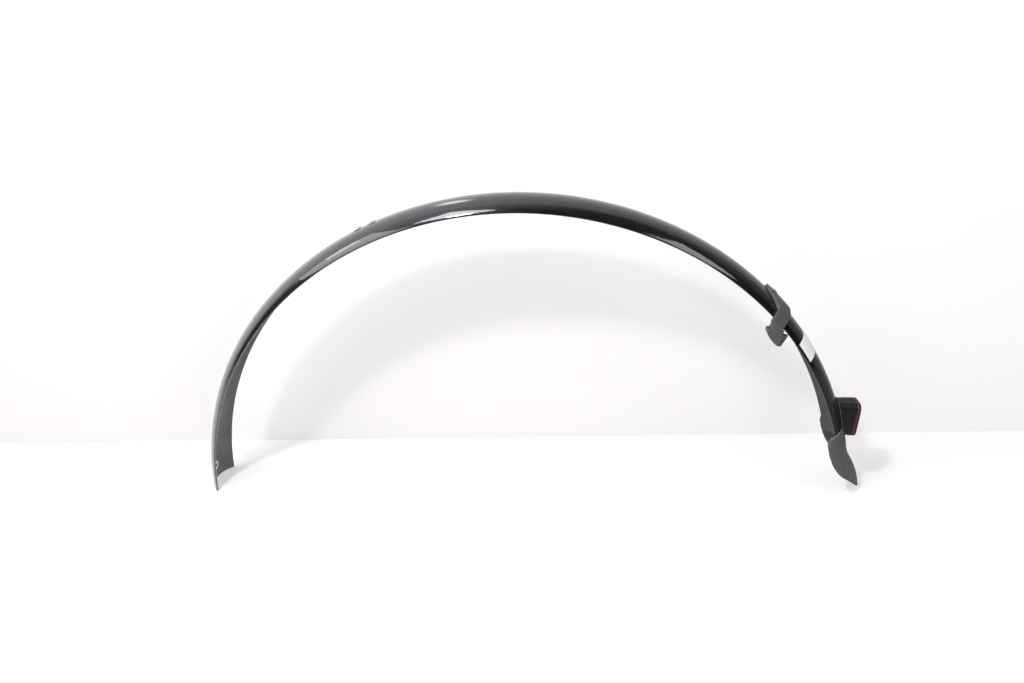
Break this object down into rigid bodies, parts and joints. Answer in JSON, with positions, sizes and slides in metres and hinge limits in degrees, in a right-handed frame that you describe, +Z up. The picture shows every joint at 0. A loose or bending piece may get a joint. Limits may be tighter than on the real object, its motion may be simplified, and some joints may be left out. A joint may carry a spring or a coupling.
{
  "type": "bicycle mudguard",
  "caption": "Arched C-section rear mudguard for a bicycle wheel, with a stay bracket, a wired rear lamp on a saddle pad and a rubber mud flap at its end",
  "frame": {"origin": "on the floor below the middle of the guard as it stands on its front end and its flap", "axes": "+X to the rear of the bicycle, +Y along the wheel's axle to the far side in the picture, +Z up"},
  "size_m": [0.7402, 0.0598, 0.3375],
  "materials": {
    "blade": "glossy black",
    "bright_metal": "plain",
    "black_metal": "black",
    "bracket": "matt dark grey",
    "label": "white film",
    "gasket": "matt black",
    "housing": "satin black",
    "lens": "clear red",
    "reflector": "silvered",
    "board": "green",
    "led": "clear",
    "flap": "matt dark grey"
  },
  "bodies": {
    "root": {"blade": "blade", "front_eyelet": "bright_metal", "bridge_plate": "bright_metal", "bridge_rivets": "black_metal", "stay_bracket": "bracket", "bracket_rivet": "black_metal", "label": "label", "lamp_gasket": "gasket", "lamp_housing": "housing", "lamp_lens": "lens", "lamp_reflector": "reflector", "lamp_board": "board", "lamp_leds": "led", "lamp_bolt": "bright_metal", "lamp_washer": "bright_metal", "lamp_nut": "bright_metal", "lead_grommet": "gasket", "mud_flap": "flap", "flap_rivet": "black_metal"}
  },
  "joints": []
}
